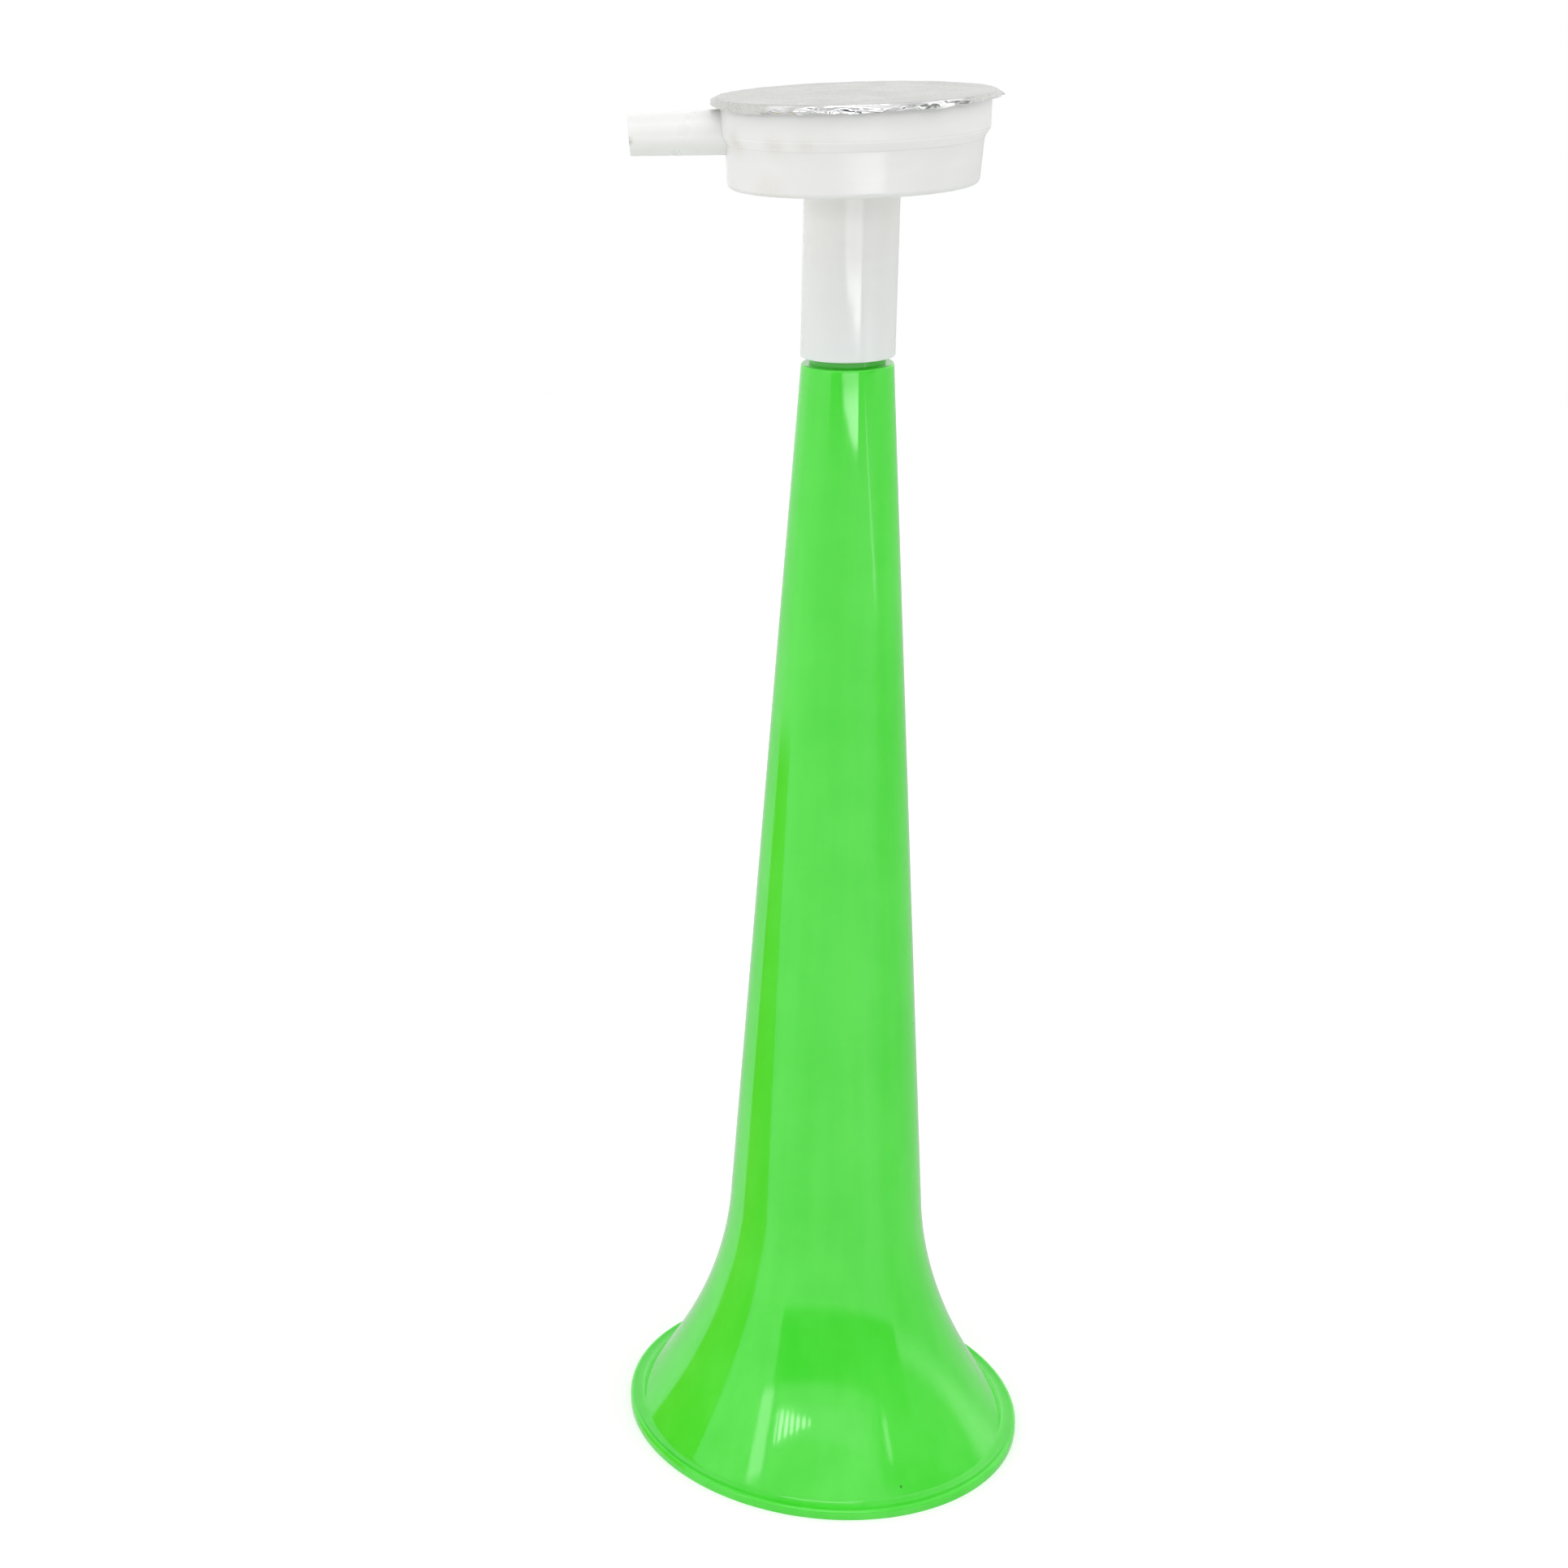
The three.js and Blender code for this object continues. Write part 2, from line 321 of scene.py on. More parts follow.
@dataclass(frozen=True)
class Foil(Finish):
    """Thin aluminium: a dull embossed disc, and a margin that is crumpled in places, lighter there
    with painted highlight.

    The margin starts at a radius in millimetres. It is crumpled within crumple_half degrees of
    the direction crumple_middle, and beyond crumple_behind degrees of it.
    """

    dull: Colour = (0.63, 0.63, 0.615)
    patch: Colour = (0.54, 0.54, 0.52)
    patch_range: Span = (0.38, 0.62)
    bright: Colour = (0.76, 0.76, 0.765)
    margin: float = 25.36
    margin_soft: float = 0.06
    crumple_middle: float = 270.3
    crumple_half: float = 41.0
    crumple_behind: float = 112.0
    crumple_soft: float = 0.03
    cloud_scale: float = 130.0
    cloud_share: float = 0.45
    grain_scale: float = 2600.0
    grain_relief: float = 0.12
    dull_rough: Span = (0.40, 0.52)
    bright_rough: Span = (0.06, 0.14)
    bright_calm: float = 0.6
    relief_strength: float = 0.6
    relief_depth: float = 0.00008

    def crumpled(self, pen: NodePen, place: Wire) -> Wire:
        """1 on the crumpled parts of the margin, which also carry the painted highlight, else 0."""
        flat = pen.vectors("MULTIPLY", place, (1.0, 1.0, 0.0))
        reach = pen.vectors("DISTANCE", flat, (0.0, 0.0, 0.0))
        low, high = self.margin - self.margin_soft, self.margin + self.margin_soft
        outside = pen.step(reach, low * METRE, high * METRE)
        middle = math.radians(self.crumple_middle)
        facing = pen.along(flat, (math.cos(middle), math.sin(middle), 0.0)) / reach
        front, rear = (math.cos(math.radians(x)) for x in (self.crumple_half, self.crumple_behind))
        half, soft = (front - rear) / 2, self.crumple_soft
        return outside * pen.step(abs(facing - (front + rear) / 2), half - soft, half + soft)

    def paint(self, pen: NodePen) -> Wire:
        """Two noises mottle the dull disc, and the crumpled margin is smoother and lighter with
        painted highlight.
        """
        place = pen.place()
        edge = self.crumpled(pen, place)
        cloud = pen.noise(place, self.cloud_scale, 4.0, 0.6)
        grain = pen.noise(place, self.grain_scale, 3.0)
        patch = pen.step(pen.blend(cloud, grain, self.cloud_share), *self.patch_range)
        # The crumpled margin's lighter colour is painted highlight.
        colour = pen.mix(edge, pen.mix(patch, self.dull, self.patch), self.bright)
        low, high = self.bright_rough
        rough = pen.step(grain, 0.3, 0.7, *self.dull_rough) * (1.0 - edge)
        rough = rough + edge * (cloud * (high - low) + low)
        relief = grain * self.grain_relief + cloud * (1.0 - edge * self.bright_calm)
        return pen.node("ShaderNodeBsdfPrincipled", {
            "Base Color": colour,
            "Metallic": 1.0,
            "Roughness": rough,
            "Normal": pen.bump(relief, self.relief_strength, self.relief_depth),
        })


@dataclass(frozen=True)
class PaleFloor(Finish):
    """A plain matt white table top, lifted to pure white where it is seen directly."""

    tone: Colour = grey(0.84)
    shade: Colour = grey(0.83)
    cloud_scale: float = 60.0
    lift: float = 0.25

    def paint(self, pen: NodePen) -> Wire:
        """Noise mixes two near whites, and a little light is added for direct view."""
        cloud = pen.noise(pen.place(), self.cloud_scale)
        colour = pen.mix(cloud, self.tone, self.shade)
        seen = pen.node("ShaderNodeLightPath", output="Is Camera Ray")
        return pen.node("ShaderNodeBsdfPrincipled", {
            "Base Color": colour,
            "Roughness": 0.9,
            "Emission Color": grey(1.0),
            "Emission Strength": seen * self.lift,
        })


@dataclass(frozen=True)
class Glow(Finish):
    """The even light of a card, which fades to nothing at its soft edges."""

    light: Colour
    soft: Span

    def paint(self, pen: NodePen) -> Wire:
        """The shares of the way along and up the card choose between light and nothing."""
        split = {0: pen.place("UV")}
        share: Wire | float = 1.0
        for part, soft in enumerate(self.soft):
            reach = pen.node("ShaderNodeSeparateXYZ", split, part)
            share = pen.within(reach, soft, 1 - soft, soft) * share
        clear = pen.node("ShaderNodeBsdfTransparent")
        shine = pen.node("ShaderNodeEmission", {"Color": self.light})
        return pen.node("ShaderNodeMixShader", {0: share, 1: clear, 2: shine})


# Surfaces


def outline(*legs: tuple | Array) -> Array:
    """Joins legs into one closed section.

    Args:
        legs: (radius, height, count) runs from there up to but not including the start of the
            next leg, in count points at shares (1 - cos(pi u)) / 2 of the way, with u even from
            0 to 1. An array of points is taken as it is.

    Returns:
        The section's points, one row each.
    """
    parts = []
    for leg, after in zip(legs, (*legs[1:], legs[0])):
        if isinstance(leg, Array):
            parts.append(leg)
            continue
        start, count = np.array(leg[:2]), leg[2]
        end = after[0] if isinstance(after, Array) else np.array(after[:2])
        share = (1 - np.cos(np.pi * np.arange(count) / count)) / 2
        parts.append(start + share[:, None] * (end - start))
    return np.concatenate(parts)


def bend(centre: Span, radius: float, first: float, last: float, count: int) -> Array:
    """Points on an arc from the first angle up to but not including the last, both in degrees."""
    angle = np.radians(first + (last - first) * np.arange(count) / count)
    return np.array(centre) + radius * np.stack([np.cos(angle), np.sin(angle)], 1)


def curve(start: Span, corner: Span, end: Span, share: Array) -> Array:
    """Points on a quadratic Bezier at each share t: (1-t)^2 start + 2t(1-t) corner + t^2 end."""
    t = share[:, None]
    start, corner, end = map(np.array, (start, corner, end))
    return (1 - t) ** 2 * start + 2 * t * (1 - t) * corner + t**2 * end


def polar(radius: Array | float, angle: Array, height: Array | float) -> Array:
    """Points at those radii, angles and heights: x = r cos a, y = r sin a, z = h."""
    radius, angle, height = np.broadcast_arrays(radius, angle, height)
    return np.stack([radius * np.cos(angle), radius * np.sin(angle), height], -1)


def turned(profile: Array, turns: int) -> tuple[Array, Array]:
    """Revolves a closed profile about Z.

    Args:
        profile: rows of (radius, height), whose last row joins the first.
        turns: how many places round the axis.

    Returns:
        The points, and the quads between neighbouring rows and places, both wrapped.
    """
    points = polar(profile[:, :1], 2 * np.pi * np.arange(turns) / turns, profile[:, 1:])
    here = np.arange(len(profile) * turns).reshape(-1, turns)
    below = np.roll(here, -1, axis=0)
    quads = np.stack([here, np.roll(here, -1, axis=1), np.roll(below, -1, axis=1), below], 2)
    return points.reshape(-1, 3), quads.reshape(-1, 4)


def volume(points: Array, faces: Array) -> float:
    """The volume that faces wind round: a sixth of the sum of a . (b x c) over their triangles."""
    first, *rest = points[faces].swapaxes(0, 1)
    return sum(float((first * np.cross(a, b)).sum()) for a, b in zip(rest, rest[1:])) / 6


def mesh_object(
    name: str,
    points: Array,
    parts: list[Array],
    smooth: list[bool],
    sharp: float = SHARP_EDGE,
) -> Piece:
    """Makes an object at the origin from points in millimetres, with its faces outwards.

    Args:
        name: the piece's name.
        points: one row a vertex.
        parts: arrays of quads or triangles that close the surface together.
        smooth: for each part, whether it is shaded smooth.
        sharp: the angle between faces, in degrees, from which an edge stays sharp.

    Returns:
        The new object.
    """
    if sum(volume(points, part) for part in parts) < 0:
        parts = [part[:, ::-1] for part in parts]
    faces = [row for part in parts for row in part.tolist()]
    mesh = bpy.data.meshes.new(name)
    mesh.from_pydata((points * METRE).tolist(), [], faces)
    shading = np.concatenate([np.full(len(part), flag) for part, flag in zip(parts, smooth)])
    mesh.polygons.foreach_set("use_smooth", shading)
    mesh.set_sharp_from_angle(angle=math.radians(sharp))
    mesh.validate()
    mesh.update()
    made = bpy.data.objects.new(name, mesh)
    bpy.context.scene.collection.objects.link(made)
    return made


def seat(piece: Piece, finish: Finish, body: Body, node: str) -> None:
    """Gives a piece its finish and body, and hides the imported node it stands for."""
    piece.data.materials.clear()
    piece.data.materials.append(finish.material())
    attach(piece, body.value)
    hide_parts(node)
    triangles = sum(len(face.vertices) - 2 for face in piece.data.polygons)
    LOG.info("%s: %d triangles, on %s", piece.name, triangles, body.value)


# Pieces


@dataclass
class Fits:
    """Sizes that several pieces share."""

    horn_height: float = 230.05
    spigot_radius: float = 7.16
    clearance: float = 0.3
    tube_wall: float = 1.36
    shoulder_gap: float = 1.4
    tube_reach: float = 31.85
    cup_height: float = 16.1
    cup_foot_radius: float = 22.9
    cup_taper: float = 0.5
    cup_wall: float = 1.4
    band_step: float = 1.06
    pipe_root_radius: float = 4.2
    pipe_cover: float = 1.2

    def __post_init__(self) -> None:
        """Works out the radii and the heights over the table that follow."""
        self.tube_bore = self.spigot_radius + self.clearance
        self.tube_radius = self.tube_bore + self.tube_wall
        self.tube_foot = self.horn_height + self.shoulder_gap
        self.cup_floor = self.tube_foot + self.tube_reach
        self.cup_top = self.cup_floor + self.cup_height
        self.cup_radius = self.cup_foot_radius + self.cup_taper
        self.band_radius = self.cup_radius + self.band_step
        pipe_top = self.cup_top - self.pipe_cover
        self.pipe_height = pipe_top - self.pipe_root_radius - self.clearance


@dataclass
class HornBell:
    """The green horn: flanged rim, flare, long cone, shoulder and spigot.

    flare_gather draws the flare's rows together towards the rim, where it curves most.
    """

    fits: Fits
    bell_radius: float = 41.0
    flange_width: float = 2.8
    flange_thickness: float = 2.0
    edge_round: float = 0.7
    valley_depth: float = 0.25
    root_round: float = 0.35
    flare_height: float = 51.4
    flare_top_radius: float = 19.75
    wall: float = 1.4
    spigot_length: float = 14.0
    lead_in: float = 0.5
    spigot_wall: float = 1.5
    shoulder_width: float = 1.5
    shoulder_round: float = 0.4
    throat_length: float = 4.0
    inner_foot: float = 0.2
    valley_rows: int = 14
    fillet_rows: int = 9
    flare_rows: int = 64
    flare_gather: float = 1.35
    turns: int = 288
    finish: Plastic = Plastic(
        "green_horn_plastic",
        body=(0.056, 0.697, 0.030),
        shade=(0.082, 0.748, 0.052),
        gloss=(0.05, 0.09),
        shade_range=(0.32, 0.68),
        ior=1.56,
        bleed=0.06,
        bleed_colour=(0.4, 1.0, 0.3),
        cloud=(46.0, 3.0, 0.0),
        cloud_share=0.6,
        cloud_relief=0.6,
        streak_scale=(220.0, 220.0, 9.0),
        streak_detail=3.0,
        streak_relief=0.2,
        grain_scale=1500.0,
        grain_relief=0.02,
        grain_rough=0.02,
        speck_share=0.7,
        # Painted shade: a darker ring on the shoulder and the spigot's root, for the neck tube's
        # shadow.
        painted_light_bands=(PaintedLightBand(230.0, 231.5, 0.1, (0.01, 0.16, 0.01), 0.25),),
    )

    @property
    def cone_top_radius(self) -> float:
        """The cone's radius under the shoulder."""
        return self.fits.spigot_radius + self.shoulder_width

    def line(self, height: Array) -> tuple[Array, Array]:
        """Outer radius and slope at each height: a cone, plus a parabola below the flare's start.

        With d = (flare height - h) / span, but not under 0, the radius is the cone's + bulge d^2.

        Args:
            height: heights from the rim's plane.

        Returns:
            The radii, and the radius gained per height climbed.
        """
        climb = self.fits.horn_height - self.flare_height
        cone = (self.cone_top_radius - self.flare_top_radius) / climb
        root = self.bell_radius - self.flange_width
        bulge = root - (self.flare_top_radius + cone * (self.flange_thickness - self.flare_height))
        span = self.flare_height - self.flange_thickness
        depth = np.maximum(self.flare_height - height, 0) / span
        radius = self.flare_top_radius + cone * (height - self.flare_height) + bulge * depth**2
        return radius, cone - 2 * bulge * depth / span

    def inner(self, height: Array) -> Array:
        """The outer line at each height, moved inwards along its own normal by the wall."""
        radius, slope = self.line(height)
        stretch = np.hypot(1, slope)
        return np.stack([radius - self.wall / stretch, height + self.wall * slope / stretch], 1)

    def rim(self) -> Array:
        """The outer section from the rim's foot over the flange and its valley up the flare."""
        floor = self.flange_thickness
        edge = self.bell_radius - self.edge_round
        rim_top = floor - self.edge_round
        root = self.bell_radius - self.flange_width
        share = np.arange(self.valley_rows) / self.valley_rows
        middle = ((edge + root) / 2, floor - 2 * self.valley_depth)
        valley = curve((edge, floor), middle, (root, floor), share)
        valley = valley[valley[:, 0] > root + self.root_round]
        rise = self.flare_height - floor - self.root_round
        gathered = np.linspace(0, 1, self.flare_rows) ** self.flare_gather
        climb = floor + self.root_round + rise * gathered
        flare = np.stack([self.line(climb)[0], climb], 1)
        share = np.arange(1, self.fillet_rows) / self.fillet_rows
        fillet = curve(valley[-1], (root, floor), flare[0], share)
        corner = bend((edge, rim_top), self.edge_round, 0, 90, 8)
        return np.concatenate([corner, valley, fillet, flare])

    def profile(self) -> Array:
        """The closed section, from the rim's outer foot up outside and down inside."""
        top, rim = self.fits.horn_height, self.rim()
        cone_end = top - self.shoulder_round
        cone_radius = self.line(np.array([cone_end]))[0][0]
        shoulder = self.cone_top_radius - self.shoulder_round
        spigot, spigot_top = self.fits.spigot_radius, top + self.spigot_length
        bore, lead_in = spigot - self.spigot_wall, self.lead_in
        throat = self.inner(np.array([top - self.wall - self.throat_length]))[0]
        inside = self.inner(np.linspace(self.flare_height, self.inner_foot, self.flare_rows))
        inside = inside[inside[:, 1] > 0]
        return outline(
            (self.bell_radius, 0, 6),
            rim[:-1],
            (*rim[-1], 48),
            bend((shoulder, cone_end), cone_radius - shoulder, 0, 90, 6),
            (shoulder, top, 6),
            (spigot, top, 10),
            (spigot, spigot_top - lead_in, 4),
            (spigot - lead_in, spigot_top, 4),
            (bore, spigot_top, 10),
            (bore, top - self.wall, 6),
            (*throat, 40),
            inside,
            (inside[-1, 0], 0, 8),
        )

    def build(self) -> None:
        """Turns the section and dresses it."""
        points, quads = turned(self.profile(), self.turns)
        piece = mesh_object("horn_bell_moulding", points, [quads], [True])
        seat(piece, self.finish, Body.HORN, "horn_bell")


@dataclass
class NeckTube:
    """The white tube on the spigot, up through the cup's hub to a lip under the foil."""

    fits: Fits
    edge_round: float = 0.3
    turns: int = 192
    finish: Plastic = Plastic(
        "white_tube_plastic",
        body=(0.86, 0.85, 0.82),
        shade=(0.83, 0.82, 0.79),
        gloss=(0.05, 0.07),
        bleed=0.35,
        bleed_reach=0.005,
        painted_light_bands=(
            # Painted light: a greener, darker tint low on the tube, for the green spigot seen
            # through its wall.
            PaintedLightBand(200.0, 231.0, 26.0, (0.80, 0.83, 0.81), 0.8),
            # Painted light: the top is lighter, against the shade under the cup.
            PaintedLightBand(264.0, 300.0, 13.0, (1.0, 0.98, 0.94)),
        ),
    )

    def profile(self) -> Array:
        """The closed section: a plain tube with rounded outer edges and lead-in at the foot."""
        foot, lip = self.fits.tube_foot, self.fits.cup_top
        outer, bore, edge = self.fits.tube_radius, self.fits.tube_bore, self.edge_round
        return outline(
            (bore + edge, foot, 6),
            bend((outer - edge, foot + edge), edge, -90, 0, 6),
            (outer, foot + edge, 60),
            bend((outer - edge, lip - edge), edge, 0, 90, 6),
            (outer - edge, lip, 6),
            (bore, lip, 60),
            (bore, foot + edge, 4),
        )

    def build(self) -> None:
        """Turns the section and dresses it."""
        points, quads = turned(self.profile(), self.turns)
        piece = mesh_object("neck_tube_moulding", points, [quads], [True])
        seat(piece, self.finish, Body.NECK, "neck_tube")


@dataclass
class BlowPipe:
    """The tapered white pipe that plugs into the cup's side, with a slanted free end."""

    fits: Fits
    reach: float = 41.15
    end_radius: float = 3.82
    bore: float = 3.0
    end_slant: float = 0.35
    end_round: float = 0.25
    slant_start: float = 1.0
    slant_full: float = 0.25
    stand_in: float = 0.8
    turns: int = 96
    finish: Plastic = Plastic(
        "white_pipe_plastic",
        body=(0.90, 0.90, 0.89),
        shade=(0.87, 0.87, 0.85),
        gloss=(0.22, 0.308),
        stains=(
            Stain((-41.3, -3.6, 273.0), 1.6, 0.75, (0.30, 0.26, 0.22)),
            Stain((-41.3, -3.2, 270.4), 1.3, 0.6, (0.34, 0.30, 0.25)),
        ),
    )

    def profile(self) -> Array:
        """The closed section, as (radius about the pipe's axis, distance from the horn's axis)."""
        root = self.fits.pipe_root_radius
        inner_end = self.fits.cup_radius - self.fits.cup_wall - self.stand_in
        body_end = self.reach - self.end_round
        rounded = self.end_radius - self.end_round
        return outline(
            (self.bore, inner_end, 5),
            (root, inner_end, 8),
            (root, self.fits.band_radius, 30),
            bend((rounded, body_end), self.end_round, 0, 90, 6),
            (rounded, self.reach, 6),
            (self.bore, self.reach, 30),
        )

    def build(self) -> None:
        """Turns the section, lays it along -X and slants its end.

        A point at height z over the pipe's axis moves outwards by slant z / radius, from nothing
        slant_start before the end to all of it slant_full before it.
        """
        points, quads = turned(self.profile(), self.turns)
        across, up, out = points.T
        grown = (out - self.reach + self.slant_start) / (self.slant_start - self.slant_full)
        out = out + self.end_slant * np.clip(grown, 0, 1) * up / self.end_radius
        laid = np.stack([-out, across, up + self.fits.pipe_height], 1)
        piece = mesh_object("blow_pipe_moulding", laid, [quads], [True])
        seat(piece, self.finish, Body.HEAD, "blow_pipe")


@dataclass
class AirCup:
    """The white stepped cup with its hub, pierced for the blow pipe."""

    fits: Fits
    corner_round: float = 1.1
    band_height: float = 6.0
    step_height: float = 1.65
    step_round: float = 0.25
    hub_wall: float = 1.3
    hub_height: float = 5.0
    hole_gap: float = 0.03
    drill_over: float = 2.0
    drill_sides: int = 96
    turns: int = 320
    finish: Plastic = Plastic(
        "white_cup_plastic",
        body=(0.83, 0.83, 0.825),
        shade=(0.80, 0.80, 0.785),
        gloss=(0.15, 0.21),
        painted_light_bands=(
            # Painted light: the upper band is lighter, against the shade under the foil's overhang.
            PaintedLightBand(276.0, 300.0, 4.0, (0.85, 0.85, 0.84)),
            # Painted light: the slanted step face is lighter, against the shade it faces down into.
            PaintedLightBand(271.8, 273.3, 0.15, (0.89, 0.885, 0.87)),
        ),
        stains=(
            Stain((-21.8, -10.1, 272.4), 4.0, 0.40, (0.62, 0.54, 0.46)),
            Stain((-15.5, -18.3, 272.5), 3.5, 0.30, (0.66, 0.60, 0.52)),
            Stain((-10.2, -21.7, 272.6), 3.0, 0.25, (0.66, 0.60, 0.52)),
            Stain((-16.0, -15.8, 263.8), 5.0, 0.30, (0.70, 0.64, 0.54)),
        ),
    )

    def profile(self) -> Array:
        """The closed section: hub's foot, floor, up outside, down inside and the hub."""
        fits = self.fits
        floor, top, wall = fits.cup_floor, fits.cup_top, fits.cup_wall
        floor_top, corner = floor + wall, self.corner_round
        hub_bore = fits.tube_radius + fits.clearance
        hub_radius, hub_top = hub_bore + self.hub_wall, floor_top + self.hub_height
        foot, cup, band = fits.cup_foot_radius, fits.cup_radius, fits.band_radius
        inner_foot = foot - wall
        band_foot = top - self.band_height
        step_foot = band_foot - self.step_height
        soft = self.step_round
        return outline(
            (hub_bore, floor, 20),
            bend((foot - corner, floor + corner), corner, -90, 0, 10),
            (foot, floor + corner, 16),
            (cup, step_foot - soft, 3),
            (cup + soft, step_foot + soft, 8),
            (band - soft / 2, band_foot - soft, 3),
            (band, band_foot + soft, 16),
            (band, top, 6),
            (band - wall, top, 8),
            (band - wall, band_foot, 4),
            (cup - wall, step_foot, 12),
            bend((inner_foot - corner, floor_top + corner), corner, 0, -90, 8),
            (inner_foot - corner, floor_top, 14),
            (hub_radius, floor_top, 8),
            (hub_radius, hub_top, 4),
            (hub_bore, hub_top, 10),
        )

    def drill(self) -> Piece:
        """The round bar that cuts the pipe's hole, along -X through the wall."""
        radius = self.fits.pipe_root_radius + self.hole_gap
        start = self.fits.cup_radius - self.fits.cup_wall - self.drill_over
        end = self.fits.band_radius + self.drill_over
        sides = self.drill_sides
        angle = 2 * np.pi * np.arange(sides) / sides
        rings = np.concatenate([polar(radius, angle, -start), polar(radius, angle, -end)])
        points = np.roll(rings, 1, axis=1) + (0, 0, self.fits.pipe_height)
        here = np.arange(sides)
        quads = np.stack([here, np.roll(here, -1), np.roll(here, -1) + sides, here + sides], 1)
        caps = [here[None], here[None, ::-1] + sides]
        return mesh_object("pipe_drill", points, [quads, *caps], [True, False, False])

    def build(self) -> None:
        """Turns the section, cuts the hole and dresses the cup."""
        points, quads = turned(self.profile(), self.turns)
        piece = mesh_object("air_cup_moulding", points, [quads], [True])
        drill = self.drill()
        cut = piece.modifiers.new("pipe_hole", "BOOLEAN")
        cut.object, cut.operation, cut.solver = drill, "DIFFERENCE", "EXACT"
        graph = bpy.context.evaluated_depsgraph_get()
        pierced = bpy.data.meshes.new_from_object(piece.evaluated_get(graph))
        piece.modifiers.clear()
        piece.data = pierced
        bpy.data.objects.remove(drill)
        pierced.set_sharp_from_angle(angle=math.radians(SHARP_EDGE))
        seat(piece, self.finish, Body.HEAD, "air_cup")


